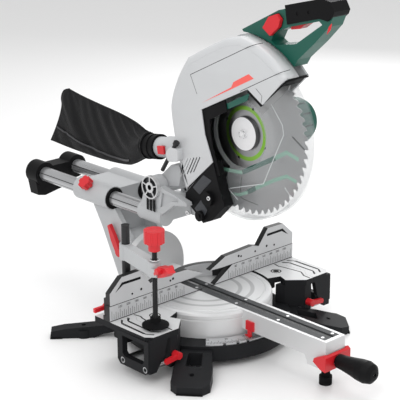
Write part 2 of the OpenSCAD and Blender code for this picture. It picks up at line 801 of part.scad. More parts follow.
base_casting();
foot_pads();
mitre_scale();
table_left();
table_right();
fence_fixed();
extension_left();
extension_right();
extension_tubes_left();
extension_tubes_right();
extension_lock_left();
extension_lock_right();
fence_slide_left();
fence_slide_right();
fence_lock_left();
fence_lock_right();
clamp_post();
clamp_arm();
clamp_quick_lever();
clamp_screw();
clamp_knob();
clamp_pad();
turntable();
kerf_inserts();
insert_screws();
mitre_pointer();
mitre_grip();
detent_lever();
arm_foot();
bevel_scale();
tilt_arm();
rail_bushes();
bevel_bolt();
bevel_lever();
slide_lock_knob();
slide_rails();
rail_end_cap();
carriage();
pivot_pin();
transport_pin();
upper_guard();
gear_housing();
motor_housing();
handle();
handle_grip();
trigger();
lock_button();
inner_cover();
dust_chute();
chute_button();
bag_collar();
dust_bag();
battery_pack();
depth_stop();
guard_rollers();
lower_guard();
saw_blade();
blade_flange();
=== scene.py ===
"""Looks of the sliding mitre saw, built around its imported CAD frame."""
import json
import math

import bmesh
import bpy
from mathutils import Matrix, Vector


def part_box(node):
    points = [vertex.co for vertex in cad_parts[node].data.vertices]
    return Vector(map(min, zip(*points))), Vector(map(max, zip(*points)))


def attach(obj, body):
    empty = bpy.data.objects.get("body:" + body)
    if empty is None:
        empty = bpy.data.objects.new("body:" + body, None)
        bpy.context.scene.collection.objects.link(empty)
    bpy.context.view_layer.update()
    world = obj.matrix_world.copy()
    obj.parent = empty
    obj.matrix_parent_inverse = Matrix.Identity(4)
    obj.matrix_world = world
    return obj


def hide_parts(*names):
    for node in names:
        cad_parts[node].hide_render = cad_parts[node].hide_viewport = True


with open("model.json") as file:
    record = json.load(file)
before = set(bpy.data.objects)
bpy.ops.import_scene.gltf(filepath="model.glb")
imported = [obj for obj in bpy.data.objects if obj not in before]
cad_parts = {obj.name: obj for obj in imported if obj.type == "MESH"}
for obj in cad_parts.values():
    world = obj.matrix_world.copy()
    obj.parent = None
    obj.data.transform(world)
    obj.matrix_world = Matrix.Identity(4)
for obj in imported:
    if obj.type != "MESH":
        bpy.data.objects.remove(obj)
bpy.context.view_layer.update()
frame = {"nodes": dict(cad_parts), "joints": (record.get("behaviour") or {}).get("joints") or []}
nodes = frame["nodes"]
joints = {j["name"]: j for j in frame["joints"]}
MM = 0.001
PER_MM = 1000.0


# ---------------------------------------------------------------- camera, light and floor
def in_mm(point):
    return [c / MM for c in point]


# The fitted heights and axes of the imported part, in mm
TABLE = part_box("table_left")[1].z / MM
ARBOR = in_mm(joints["blade_spin"]["pos_m"])
PIVOT = in_mm(joints["chop"]["pos_m"])
RAIL_Z = TABLE + 141

CAMERA_AZIMUTH = math.radians(-43.13)
CAMERA_ELEVATION = math.radians(18.36)
CAMERA_ROLL = math.radians(-0.23)
CAMERA_DISTANCE = 2.575
CAMERA_LENS = 121.5
CAMERA_AIM = Vector((-0.0168, -0.0001, 0.280))
SKY = 0.72
FLOOR_HALF = 9.0


def make_camera():
    data = bpy.data.cameras.new("camera")
    data.lens = CAMERA_LENS
    data.sensor_width = 36
    camera = bpy.data.objects.new("camera", data)
    back = Vector((math.sin(CAMERA_AZIMUTH) * math.cos(CAMERA_ELEVATION),
                   -math.cos(CAMERA_AZIMUTH) * math.cos(CAMERA_ELEVATION),
                   math.sin(CAMERA_ELEVATION)))
    camera.location = CAMERA_AIM + CAMERA_DISTANCE * back
    turn = (-back).to_track_quat("-Z", "Y").to_matrix().to_4x4()
    camera.rotation_euler = (turn @ Matrix.Rotation(CAMERA_ROLL, 4, "Z")).to_euler()
    bpy.context.scene.collection.objects.link(camera)
    bpy.context.scene.camera = camera


def area_light(name, place, aim, size, power):
    data = bpy.data.lights.new(name, "AREA")
    data.shape = "RECTANGLE"
    data.size, data.size_y = size
    data.energy = power
    light = bpy.data.objects.new(name, data)
    light.location = place
    light.rotation_euler = (Vector(aim) - Vector(place)).to_track_quat("-Z", "Y").to_euler()
    bpy.context.scene.collection.objects.link(light)


def make_studio():
    scene = bpy.context.scene
    scene.view_settings.view_transform = "Standard"
    world = bpy.data.worlds.new("studio")
    world.use_nodes = True
    background = world.node_tree.nodes["Background"]
    background.inputs["Color"].default_value = (1.0, 1.0, 1.0, 1.0)
    background.inputs["Strength"].default_value = SKY
    scene.world = world
    area_light("key", (-1.9, -0.9, 1.9), (0.0, 0.0, 0.35), (1.4, 1.4), 22)
    area_light("front", (0.5, -2.4, 1.2), (0.0, 0.0, 0.3), (1.6, 0.9), 6)
    area_light("top", (0.3, 0.3, 2.4), (0.0, 0.0, 0.0), (1.8, 1.8), 22)
    area_light("rim", (1.9, 1.2, 1.3), (0.0, 0.0, 0.4), (0.7, 1.6), 13)
    mesh = bpy.data.meshes.new("floor")
    half = FLOOR_HALF
    mesh.from_pydata([(-half, -half, 0), (half, -half, 0), (half, half, 0), (-half, half, 0)],
                     [], [(0, 1, 2, 3)])
    floor = bpy.data.objects.new("floor", mesh)
    scene.collection.objects.link(floor)
    look = Look("floor_paint", (0.9, 0.9, 0.9), roughness=0.55)
    look.vary(0.02, 3.0)
    floor.data.materials.append(look.material)


# ---------------------------------------------------------------- materials
# Colours darker than this count as black, and reflect less
BLACK_BELOW = 0.02
BLACK_GLOSS = 0.12


class Look:
    """One node material, put together from short calls, in metres in the piece's own frame."""

    def __init__(self, name, color, roughness=0.5, metallic=0.0, **sockets):
        self.material = bpy.data.materials.new(name)
        self.material.use_nodes = True
        self.tree = self.material.node_tree
        self.shader = self.tree.nodes["Principled BSDF"]
        self.color = (*color, 1.0)
        self.rough = roughness
        self.shader.inputs["Base Color"].default_value = self.color
        self.shader.inputs["Roughness"].default_value = roughness
        self.shader.inputs["Metallic"].default_value = metallic
        if max(color) < BLACK_BELOW:
            self.shader.inputs["Specular IOR Level"].default_value = BLACK_GLOSS
        for key, value in sockets.items():
            self.shader.inputs[key.replace("_", " ")].default_value = value
        self.place = self.tree.nodes.new("ShaderNodeTexCoord").outputs["Object"]
        self.height = None

    def node(self, kind, inputs=(), **settings):
        made = self.tree.nodes.new(kind)
        for key, value in settings.items():
            setattr(made, key, value)
        for key, value in dict(inputs).items():
            if isinstance(value, bpy.types.NodeSocket):
                self.tree.links.new(value, made.inputs[key])
            else:
                made.inputs[key].default_value = value
        return made

    def math(self, operation, a, b=0.0, clamp=False):
        return self.node("ShaderNodeMath", {0: a, 1: b}, operation=operation,
                         use_clamp=clamp).outputs[0]

    def axis(self, name):
        return self.node("ShaderNodeSeparateXYZ", {0: self.place}).outputs[name]

    def noise(self, scale, detail=3.0, stretch=(1, 1, 1)):
        spread = self.node("ShaderNodeVectorMath", {0: self.place, 1: stretch},
                           operation="MULTIPLY").outputs[0]
        return self.node("ShaderNodeTexNoise", {"Vector": spread, "Scale": scale,
                                                "Detail": detail}).outputs["Fac"]

    def steps(self, value, low, high):
        return self.node("ShaderNodeMapRange", {"Value": value, "From Min": low,
                                                "From Max": high}).outputs[0]

    def current(self, socket):
        links = self.shader.inputs[socket].links
        return links[0].from_socket if links else self.shader.inputs[socket].default_value

    def paint(self, mask, color, rough=None):
        """Covers the base colour with another where mask is 1."""
        mix = self.node("ShaderNodeMix", data_type="RGBA")
        for key, value in ((0, mask), (6, self.current("Base Color")), (7, (*color, 1.0))):
            if isinstance(value, bpy.types.NodeSocket):
                self.tree.links.new(value, mix.inputs[key])
            else:
                mix.inputs[key].default_value = value
        self.tree.links.new(mix.outputs[2], self.shader.inputs["Base Color"])
        if rough is not None:
            blend = self.node("ShaderNodeMix", {0: mask, 2: self.current("Roughness"), 3: rough})
            self.tree.links.new(blend.outputs[0], self.shader.inputs["Roughness"])

    def vary(self, amount, scale, detail=3.0, stretch=(1, 1, 1)):
        """Uneven colour and gloss: amount darker or smoother where the noise is high."""
        mask = self.math("MULTIPLY", self.steps(self.noise(scale, detail, stretch), 0.3, 0.75),
                         amount * 6)
        dark = tuple(c * (1 - amount * 1.6) for c in self.color[:3])
        self.paint(self.math("MINIMUM", mask, 1.0), dark, min(1.0, self.rough * (1 + amount * 4)))

    def bump(self, value, distance, strength=1.0):
        inputs = {"Height": value, "Distance": distance, "Strength": strength}
        if self.height is not None:
            inputs["Normal"] = self.height
        self.height = self.node("ShaderNodeBump", inputs).outputs[0]
        self.tree.links.new(self.height, self.shader.inputs["Normal"])

    def facing(self, axis, above=0.9):
        """1 where the surface faces that way in the piece's own frame."""
        normal = self.node("ShaderNodeTexCoord").outputs["Normal"]
        part = self.node("ShaderNodeSeparateXYZ", {0: normal}).outputs[axis]
        return self.math("GREATER_THAN", part, above)

    def radius(self, centre, drop):
        """Distance from a line through centre along the dropped axis, in millimetres."""
        keep = tuple(0.0 if i == drop else 1.0 for i in range(3))
        away = self.node("ShaderNodeVectorMath", {0: self.place, 1: [c * MM for c in centre]},
                         operation="SUBTRACT").outputs[0]
        flat = self.node("ShaderNodeVectorMath", {0: away, 1: keep},
                         operation="MULTIPLY").outputs[0]
        length = self.node("ShaderNodeVectorMath", {0: flat}, operation="LENGTH").outputs["Value"]
        return self.math("MULTIPLY", length, PER_MM)

    def band(self, value, low, high, soft=0.15):
        rise = self.steps(value, low - soft, low + soft)
        fall = self.steps(value, high + soft, high - soft)
        return self.math("MULTIPLY", rise, fall)


def casting(name, color, roughness, grain=0.00012, metallic=0.0):
    """Painted or bare casting: fine orange peel, soft unevenness."""
    look = Look(name, color, roughness, metallic)
    look.vary(0.05, 26.0)
    look.vary(0.03, 300.0, 2.0)
    look.bump(look.noise(900.0, 2.0), grain, 0.35)
    look.bump(look.noise(90.0, 2.0), 0.0004, 0.12)
    return look


def plastic(name, color, roughness, grain=0.00006, scale=1800.0):
    look = Look(name, color, roughness)
    look.vary(0.04, 40.0)
    look.bump(look.noise(scale, 2.0), grain, 0.5)
    return look


def brushed(name, color, roughness, along=0, metallic=1.0):
    """Metal with fine scratches along one axis."""
    look = Look(name, color, roughness, metallic)
    stretch = tuple(8.0 if i == along else 900.0 for i in range(3))
    scratches = look.noise(1.0, 4.0, stretch)
    look.bump(scratches, 0.00004, 0.5)
    look.vary(0.05, 1.0, 3.0, stretch)
    look.vary(0.04, 18.0)
    return look


def turned(name, color, roughness, centre, drop, pitch, metallic=1.0):
    """Metal turned on a lathe: rings about a line."""
    look = Look(name, color, roughness, metallic)
    radius = look.radius(centre, drop)
    rings = look.math("SINE", look.math("MULTIPLY", radius, 2 * math.pi / pitch))
    look.bump(rings, 0.00003, 0.35)
    look.vary(0.04, 22.0)
    return look


# ---------------------------------------------------------------- shapes
FROM_FLAT = {0: Matrix(((0, 0, 1, 0), (1, 0, 0, 0), (0, 1, 0, 0), (0, 0, 0, 1))),
             1: Matrix(((1, 0, 0, 0), (0, 0, -1, 0), (0, 1, 0, 0), (0, 0, 0, 1))),
             2: Matrix.Identity(4)}


def arc(centre, r, start, end, count):
    turn = [math.radians(start + (end - start) * i / count) for i in range(count + 1)]
    return [(centre[0] + r * math.cos(a), centre[1] + r * math.sin(a)) for a in turn]


def rounded(points, r, count=4):
    """The outline with its corners rounded."""
    out = []
    for i, corner in enumerate(points):
        here = Vector(corner)
        before = Vector(points[i - 1]) - here
        after = Vector(points[(i + 1) % len(points)]) - here
        a = before * min(r / before.length, 0.45)
        b = after * min(r / after.length, 0.45)
        for step in range(count + 1):
            t = step / count
            out.append(tuple(here + a * (1 - t) ** 2 + b * t ** 2))
    return out


def inset(points, depth):
    """The outline moved inwards by depth. It keeps its number of points."""
    area = sum(a[0] * b[1] - b[0] * a[1] for a, b in zip(points, points[1:] + points[:1]))
    side = 1 if area > 0 else -1
    out = []
    for i, corner in enumerate(points):
        here = Vector(corner)
        a = (here - Vector(points[i - 1])).normalized()
        b = (Vector(points[(i + 1) % len(points)]) - here).normalized()
        normal = Vector((-a.y - b.y, a.x + b.x)) * side
        scale = 2 / max(normal.length_squared, 1.0)
        out.append(tuple(here + normal * scale * depth))
    return out


def smooth(points, count):
    """An open curve through the points, with count steps between each two."""
    spots = [Vector(p) for p in points]
    last = len(spots) - 1
    out = []
    for i in range(last):
        p0, p1, p2, p3 = (spots[min(max(i + k, 0), last)] for k in (-1, 0, 1, 2))
        for step in range(count):
            t = step / count
            out.append(tuple(0.5 * (2 * p1 + (p2 - p0) * t + (2 * p0 - 5 * p1 + 4 * p2 - p3) * t * t
                                    + (3 * p1 - p0 - 3 * p2 + p3) * t ** 3)))
    return out + [tuple(spots[-1])]


def plate(outlines, low, high, axis, bevel=0.4):
    """A flat mesh from closed outlines in mm, holes after the edge, from low to high along axis."""
    curve = bpy.data.curves.new("flat", "CURVE")
    curve.dimensions = "2D"
    curve.fill_mode = "BOTH"
    bevel = min(bevel, (high - low) / 2)
    curve.extrude = ((high - low) / 2 - bevel) * MM
    curve.bevel_depth = bevel * MM
    curve.bevel_resolution = 1
    curve.offset = -bevel * MM
    for points in outlines:
        spline = curve.splines.new("POLY")
        spline.points.add(len(points) - 1)
        for spot, p in zip(spline.points, points):
            spot.co = (p[0] * MM, p[1] * MM, 0, 1)
        spline.use_cyclic_u = True
    return from_curve(curve, along((low + high) / 2, axis) @ FROM_FLAT[axis])


def along(distance, axis):
    offset = [0.0, 0.0, 0.0]
    offset[axis] = distance * MM
    return Matrix.Translation(offset)


def from_curve(curve, matrix):
    holder = bpy.data.objects.new("holder", curve)
    mesh = bpy.data.meshes.new_from_object(holder)
    bpy.data.objects.remove(holder)
    bpy.data.curves.remove(curve)
    mesh.transform(matrix)
    return mesh


def tube(points, r):
    """A round bar along points in mm."""
    curve = bpy.data.curves.new("bar", "CURVE")
    curve.dimensions = "3D"
    curve.bevel_depth = r * MM
    curve.bevel_resolution = 4
    curve.use_fill_caps = True
    spline = curve.splines.new("POLY")
    spline.points.add(len(points) - 1)
    for spot, p in zip(spline.points, points):
        spot.co = (*[c * MM for c in p], 1)
    return from_curve(curve, Matrix.Identity(4))


def lathe(profile, axis, centre, count=48):
    """Turns a closed profile of (radius, distance along axis) in mm round a line through centre."""
    mesh = bpy.data.meshes.new("turned")
    verts, faces = [], []
    size = len(profile)
    first, second = [i for i in range(3) if i != axis]
    for step in range(count):
        a = 2 * math.pi * step / count
        for r, h in profile:
            spot = [c * MM for c in centre]
            spot[axis] += h * MM
            spot[first] += r * MM * math.cos(a)
            spot[second] += r * MM * math.sin(a)
            verts.append(spot)
    for step in range(count):
        here, there = step * size, (step + 1) % count * size
        for i in range(size):
            j = (i + 1) % size
            faces.append((here + i, there + i, there + j, here + j))
    mesh.from_pydata(verts, [], faces)
    return mesh


def letters(text, size, matrix, thickness=0.15):
    """Figures of a scale, size mm high."""
    curve = bpy.data.curves.new("figures", "FONT")
    curve.body = text
    curve.size = size * MM
    curve.align_x = "CENTER"
    curve.align_y = "CENTER"
    curve.extrude = thickness * MM / 2
    return from_curve(curve, matrix)


def grid(rows, closed=False):
    """A surface through rows of points in mm."""
    mesh = bpy.data.meshes.new("skin")
    wide = len(rows[0])
    verts = [[c * MM for c in p] for row in rows for p in row]
    faces = [(i * wide + j, i * wide + (j + 1) % wide, (i + 1) * wide + (j + 1) % wide,
              (i + 1) * wide + j)
             for i in range(len(rows) - 1) for j in range(wide if closed else wide - 1)]
    mesh.from_pydata(verts, [], faces)
    return mesh


def piece(name, meshes, body, look, slot, *stands_for, angle=35):
    """Joins meshes into one shown piece that rides on a CAD body."""
    work = bmesh.new()
    for mesh in meshes:
        work.from_mesh(mesh)
        bpy.data.meshes.remove(mesh)
    bmesh.ops.remove_doubles(work, verts=work.verts, dist=2e-6)
    bmesh.ops.recalc_face_normals(work, faces=work.faces)
    joined = bpy.data.meshes.new(name)
    work.to_mesh(joined)
    work.free()
    joined.shade_smooth()
    joined.set_sharp_from_angle(angle=math.radians(angle))
    joined.materials.append(look.material)
    made = bpy.data.objects.new(name, joined)
    bpy.context.scene.collection.objects.link(made)
    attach(made, body)
    if stands_for:
        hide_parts(*stands_for)
    return made


def mirror_x(points):
    """The outline on the other side of the saw."""
    return [(-x, y) for x, y in points]


def strip(points, width):
    """A flat ribbon outline of even width along an open line of points."""
    spots = [Vector(p) for p in points]
    left, right = [], []
    for i, spot in enumerate(spots):
        a = spot - spots[max(i - 1, 0)]
        b = spots[min(i + 1, len(spots) - 1)] - spot
        run = (a.normalized() if a.length else b.normalized()) \
            + (b.normalized() if b.length else a.normalized())
        run.normalize()
        side = Vector((-run.y, run.x)) * width / 2
        left.append(tuple(spot + side))
        right.append(tuple(spot - side))
    return left + right[::-1]


# ---------------------------------------------------------------- CAD nodes
SILVER = (0.46, 0.47, 0.48)
CHARCOAL = (0.013, 0.0135, 0.015)
BLACK = (0.005, 0.005, 0.0055)
RED = (0.62, 0.012, 0.02)
GREEN = (0.0, 0.085, 0.058)
LIME = (0.25, 0.56, 0.035)


def give(look, *names):
    """Puts a look on CAD nodes."""
    for name in names:
        nodes[name].data.materials.clear()
        nodes[name].data.materials.append(look.material)


def soften(width, *names):
    """Rounds the hard edges of CAD nodes a little, as castings and mouldings have them."""
    for name in names:
        bevel = nodes[name].modifiers.new("edges", "BEVEL")
        bevel.width = width * MM
        bevel.segments = 2
        bevel.limit_method = "ANGLE"
        bevel.angle_limit = math.radians(35)
        bevel.use_clamp_overlap = True
        bevel.harden_normals = False
        nodes[name].modifiers.new("normals", "WEIGHTED_NORMAL").keep_sharp = True


def machined_top(look, low=TABLE - 0.6, color=(0.62, 0.625, 0.63), rough=0.34):
    """A bare milled face on top of a coated casting."""
    height = look.math("MULTIPLY", look.axis("Z"), PER_MM)
    mask = look.math("MULTIPLY", look.facing("Z"), look.math("GREATER_THAN", height, low))
    look.paint(mask, color, rough)
    streaks = look.noise(1.0, 3.0, (14.0, 700.0, 1.0))
    look.bump(look.math("MULTIPLY", streaks, mask), 0.00003, 0.4)
    return look


def dress_nodes():
    base = casting("base_coat", CHARCOAL, 0.5, 0.00018)
    give(base, "base_casting")
    tables = machined_top(casting("table_coat", CHARCOAL, 0.5, 0.00018))
    give(tables, "table_left", "table_right")
    wings = machined_top(casting("wing_coat", CHARCOAL, 0.48, 0.00018))
    give(wings, "extension_left", "extension_right")
    rubber = plastic("foot_rubber", BLACK, 0.8, 0.00015, 1200.0)
    give(rubber, "foot_pads")
    give(brushed("ground_tube", (0.55, 0.56, 0.57), 0.28, 0), "extension_tubes_left",
         "extension_tubes_right")
    red = plastic("red_moulding", RED, 0.38)
    give(red, "extension_lock_left", "extension_lock_right", "fence_lock_left",
         "fence_lock_right", "clamp_knob", "clamp_quick_lever", "bevel_lever",
         "slide_lock_knob", "trigger", "lock_button", "chute_button", "detent_lever",
         "mitre_pointer")
    fence = casting("fence_paint", (0.56, 0.565, 0.575), 0.36, 0.00006)
    dark_back(fence)
    give(fence, "fence_fixed", "fence_slide_left", "fence_slide_right")
    give(brushed("black_rod", (0.03, 0.03, 0.032), 0.35, 2, 0.6), "clamp_post", "clamp_screw",
         "depth_stop", "transport_pin")
    give(casting("clamp_paint", SILVER, 0.34, 0.00006), "clamp_arm")
    give(rubber, "clamp_pad", "arm_foot")
    deck = turned("milled_deck", (0.68, 0.685, 0.69), 0.4, (0, 0, 0), 2, 1.3, 0.25)
    from_centre = deck.radius((0, 0, 0), 2)
    for inner, outer in ((62, 70), (86, 94)):
        deck.paint(deck.band(from_centre, inner, outer, 1.0), (0.45, 0.455, 0.46))
    give(deck, "turntable")
    give(plastic("insert_moulding", (0.045, 0.048, 0.052), 0.6, 0.0001), "kerf_inserts")
    give(brushed("plated", (0.66, 0.66, 0.67), 0.3, 0, 0.6), "insert_screws", "bevel_bolt")
    flange = turned("flange_steel", (0.80, 0.80, 0.81), 0.35, ARBOR, 0, 1.6, 0.3)
    from_arbor = flange.radius(ARBOR, 0)
    flange.paint(flange.band(from_arbor, 31.0, 33.5), (0.1, 0.1, 0.105))
    give(flange, "blade_flange")
    disc = brushed("disc_steel", (0.62, 0.625, 0.63), 0.3, 0, 0.5)
    # Faces sunk more than 1.5 mm behind the disc's front and within 22 mm of the pivot are painted
    # dark: painted shade in the spoked disc's recesses
    recess_shade = disc.math("GREATER_THAN", disc.axis("X"), (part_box("pivot_pin")[0].x / MM + 1.5) * MM)
    from_pivot = disc.radius(PIVOT, 0)
    disc.paint(disc.math("MULTIPLY", recess_shade, disc.band(from_pivot, 0.0, 22.0)), (0.05, 0.052, 0.055))
    disc.paint(disc.band(from_pivot, -1.0, 5.2), BLACK)
    give(disc, "pivot_pin")
    scale = turned("scale_ring", (0.62, 0.63, 0.64), 0.3, (0, 0, 0), 2, 0.9, 0.7)
    give(scale, "mitre_scale", "bevel_scale")
    black = plastic("black_moulding", BLACK, 0.5, 0.0001)
    give(black, "mitre_grip", "rail_end_cap", "inner_cover", "bag_collar", "battery_pack",
         "handle_grip", "rail_bushes", "guard_rollers")
    arm = casting("arm_paint", SILVER, 0.4, 0.0001)
    give(arm, "tilt_arm", "carriage")
    rails = brushed("rail_chrome", (0.46, 0.465, 0.475), 0.27, 1, 0.75)
    # Dark bands painted round the rails at two groove heights: painted shade of the grooves, which
    # are not modelled as recesses
    groove_shade_height = rails.math("MULTIPLY", rails.axis("Z"), PER_MM)
    for height in (RAIL_Z + 5.5, RAIL_Z - 6.0):
        rails.paint(rails.band(groove_shade_height, height - 0.8, height + 0.8), (0.05, 0.05, 0.052))
    give(rails, "slide_rails")
    guard = casting("guard_paint", (0.56, 0.57, 0.58), 0.34, 0.00005)
    give(guard, "upper_guard")
    give(casting("gear_paint", SILVER, 0.4, 0.0001), "gear_housing", "dust_chute")
    green = plastic("green_moulding", GREEN, 0.42)
    give(green, "motor_housing", "handle")
    give(plastic("bag_cloth", BLACK, 0.9, 0.0003, 900.0), "dust_bag")
    give(clear_look(), "lower_guard")
    give(blade_look(), "saw_blade")
    soften(0.7, "base_casting", "table_left", "table_right", "extension_left",
           "extension_right", "fence_fixed", "fence_slide_left", "fence_slide_right",
           "tilt_arm", "carriage", "gear_housing", "motor_housing", "rail_end_cap",
           "battery_pack", "inner_cover")
    soften(0.5, "turntable", "clamp_arm", "dust_chute", "clamp_quick_lever",
           "extension_lock_left", "extension_lock_right", "fence_lock_left",
           "fence_lock_right", "bevel_lever", "detent_lever", "trigger", "lock_button",
           "chute_button", "mitre_grip", "slide_lock_knob")


def dark_back(look):
    """Dark coating on all but the machined front face of a fence."""
    normal = look.node("ShaderNodeTexCoord").outputs["Normal"]
    part = look.node("ShaderNodeSeparateXYZ", {0: normal}).outputs["Y"]
    look.paint(look.math("GREATER_THAN", part, -0.8), BLACK, 0.5)


def clear_look():
    """Clear plastic as alpha, so that the blade shows through without deep ray paths. Towards grazing
    angles it turns opaque grey: painted shade and reflection along the sheet's curved edges.
    """
    look = Look("clear_plastic", (0.5, 0.52, 0.53), roughness=0.05)
    # Alpha rises with the Facing weight, so edge-on parts show the grey colour: painted edge shade
    # and reflection of clear plastic
    weight = look.node("ShaderNodeLayerWeight", {"Blend": 0.4}).outputs["Facing"]
    edge = look.math("POWER", weight, 2.2)
    alpha = look.math("ADD", look.math("MULTIPLY", edge, 0.8), 0.1, clamp=True)
    look.tree.links.new(alpha, look.shader.inputs["Alpha"])
    look.bump(look.noise(30.0, 2.0), 0.0002, 0.1)
    return look


def blade_look():
    """Ground steel plate: rings of the grinding wheel, and a highlight that turns round the arbor."""
    look = Look("blade_ground", (0.40, 0.405, 0.41), 0.34, 1.0, Anisotropic=0.8)
    tangent = look.node("ShaderNodeTangent", direction_type="RADIAL", axis="X").outputs[0]
    look.tree.links.new(tangent, look.shader.inputs["Tangent"])
    radius = look.radius(ARBOR, 0)
    rings = look.math("SINE", look.math("MULTIPLY", radius, 5.0))
    look.bump(rings, 0.00002, 0.4)
    look.paint(look.band(radius, 43.8, 51.4, 0.3), LIME, 0.4)
    look.vary(0.05, 30.0)
    return look


# ---------------------------------------------------------------- saw head
# Radius of the guard's crown about the arbor, its left face, and how far a dark mark stands out from
# its face; some of these marks are painted shade of grooves and holes
CROWN_R = 188
GUARD_LEFT = -42.0
MARK_PROUD = 0.12


def about_arbor(r, degrees):
    a = math.radians(degrees)
    return (ARBOR[1] - r * math.cos(a), ARBOR[2] + r * math.sin(a))


CROWN = [about_arbor(CROWN_R, 84 - 5 * i) for i in range(9)]
GUARD_BACK = [(19, 299), (43, 372), (58, 440), (56, 476), (37, 520), (12, 558), (-98, 613)]
WINDOW = [(-187, 505), (-150, 527), (-31, 468), (-40, 422), (-61, 373)]


def guard_shell(paint, dark):
    """Pressed shell: broad rounded shoulder, flat face with louvres, wall that wraps the crown."""
    path = smooth(GUARD_BACK[:2], 6)[:-1] + smooth(GUARD_BACK[1:6], 5)[:-1] \
        + smooth([GUARD_BACK[5], (-43, 587), GUARD_BACK[6]], 4)[:-1] + smooth(CROWN, 2)
    closed = path + WINDOW
    rows = []

    def moved_in(depth):
        edge = inset(closed, depth)[:len(path)]
        along_window = (Vector(WINDOW[-1]) - Vector(path[0])).normalized()
        edge[0] = tuple(Vector(path[0]) + along_window * depth * 1.22)
        edge[-1] = about_arbor(CROWN_R - depth, 44)
        return edge

    for x, depth in ((-8, 0.3), (-24, 0.3), (-32.5, 0.3), (-35.5, 1.6), (-38.2, 4.4),
                     (-40.2, 8.6), (-41.3, 13.0), (-41.7, 18.0)):
        edge = moved_in(depth)
        rows.append([(x, y, z) for y, z in edge])
    wall = piece("guard_wall", [grid(rows)], "head", paint, "guard_paint", "upper_guard")
    thick = wall.modifiers.new("sheet", "SOLIDIFY")
    thick.thickness = 2.2 * MM
    thick.offset = -1.0
    rim = moved_in(15.0)
    face = [rim[:1] + rim[3:] + WINDOW]
    lean = math.radians(28)
    wide = Vector((math.cos(lean), math.sin(lean))) * 2.4
    upright = Vector((-math.sin(lean), math.cos(lean)))
    for i in range(5):
        corner, high = Vector((26 - 9 * i, 326 + 4 * i)), upright * (46 - 2 * i)
        face.append([tuple(p) for p in (corner, corner + wide, corner + wide + high,
                                        corner + high)])
    piece("guard_face", [plate(face, GUARD_LEFT, GUARD_LEFT + 2.6, 0, 0.6)], "head", paint,
          "guard_paint")
    # Thin black strips standing just proud of the face: painted shade of the panel grooves, which are
    # not cut into the shell
    lines = [strip([(-2.6, 529), (-155, 604.5), (-172, 611), (-187, 615)], 1.0),
             strip([(-2.6, 529), (-20, 495)], 0.8),
             strip([(-131.8, 520.1), (-229, 570), (-252, 579)], 1.0),
             strip([(-170.7, 532.3), (-186, 521), (-184, 508)], 0.8)]
    piece("guard_groove_shade", [plate([line], GUARD_LEFT - MARK_PROUD, GUARD_LEFT + 0.2, 0, 0.05)
                            for line in lines], "head", dark, "black_plastic")
    piece("guard_lining", [
        plate([[(-31, 468), (-40, 422), (-61, 373), (-20, 331), (-26, 318), (-78, 352),
                (-70, 372), (-58, 396), (-52, 430), (-50, 452), (-96, 476), (-90, 497)]],
              -38.9, -36.5, 0, 0.4),
        plate([[(-187, 505), (-150, 527), (-146, 521), (-180, 500)]], -38.9, -36.5, 0, 0.3),
        grid([[(x, *about_arbor(r, 44)) for x in (-37, -8, 16)] for r in (187.4, 160.5)]),
        tube([(-40.5, -183, 504), (-38.5, *about_arbor(181.5, 43.2)), (-9, *about_arbor(186, 43.2)),
              (16, *about_arbor(184, 43.2))], 1.6),
    ], "head", dark, "black_plastic")
    piece("guard_lug", [plate([rounded([(18, 360), (20, 384), (42, 384), (54, 370), (46, 354)], 6)],
                              -57, -41, 0, 1.2)], "head", paint, "guard_paint")


def guard_prints(coral, green):
    """Plain stripes printed on the guard. They carry no lettering."""
    stripe = [(-33.7, 481.6), (-109.1, 519.7), (-165.6, 548.8), (-152.9, 554.9),
              (-114.8, 533.9), (-109.5, 523.6)]
    piece("guard_stripe", [plate([stripe], -42.14, -41.8, 0, 0.05)], "head", coral, "red_plastic")
    band = [(-66, 476), (-150, 519), (-144, 504), (-72, 468)]
    piece("guard_band", [plate([band], -36.6, -35.6, 0, 0.1)], "head", green, "green_plastic")


def blade_prints(green, lime, dark, clear):
    """Coloured bars and laser slots of the blade, and opaque light grey strips along the lines
    moulded into the clear guard: painted light and shade of those clear lines.
    """
    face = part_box("saw_blade")[0].x / MM
    solid = [strip([(-98.7, 354), (-181, 399)], 9), strip([(-112, 318.5), (-133, 331)], 9)]
    piece("blade_bars", [plate([p], face - 0.12, face + 0.2, 0, 0.04) for p in solid], "blade",
          green, "green_plastic")
    pale = [strip([(-46, 349), (-74, 351), (-98, 353)], 7),
            strip([(-181, 399), (-209, 415), (-238, 408)], 8),
            strip([(-133, 331), (-182, 358), (-210, 371), (-234, 366)], 7),
            strip([(-68, 306), (-90, 308), (-112, 318)], 6)]
    piece("blade_chevrons", [plate([p], face - 0.1, face + 0.2, 0, 0.04) for p in pale], "blade",
          lime, "green_plastic")
    slot = strip(smooth([(-222, 447), (-240, 436), (-252, 429)], 3), 3.2)
    slot_low = strip(smooth([(-96, 345), (-94, 312), (-100, 303), (-140, 300)], 4), 1.2)
    # Opaque light grey strips on the clear guard along its moulded lines: painted light and shade of
    # lines that are clear plastic
    piece("clear_guard_line_shading", [plate([strip(line, 1.3)], -15.25, -14.9, 0, 0.06) for line in (
        [(-183, 501), (-211, 468), (-214, 451), (-166, 350)], [(-166, 350), (-66, 317)],
        [(-58, 331), (-101, 304)], [(-219, 355), (-234, 341)])], "clear_cover", clear,
        "clear_guard")
    piece("blade_slots", [plate([slot], face - 0.08, face + 0.2, 0, 0.03),
                          plate([slot_low], face - 0.08, face + 0.2, 0, 0.03)], "blade", dark,
          "black_steel")


def arbor_bolt(bright, dark):
    """Hexagon head of the blade bolt; a dark plate at the bottom of its shallow socket is painted
    shade of the socket's depth.
    """
    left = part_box("blade_flange")[0].x / MM
    hexagon = arc((ARBOR[1], ARBOR[2]), 8.0, 15, 315, 5)
    piece("arbor_bolt", [plate([hexagon, arc((ARBOR[1], ARBOR[2]), 4.4, 0, 300, 5)],
                               left - 0.3, left + 2.4, 0, 0.5)], "blade", bright, "bright_steel")
    piece("arbor_socket_shade", [plate([hexagon], left + 0.6, left + 1.4, 0, 0.1)], "blade", dark,
          "black_steel")


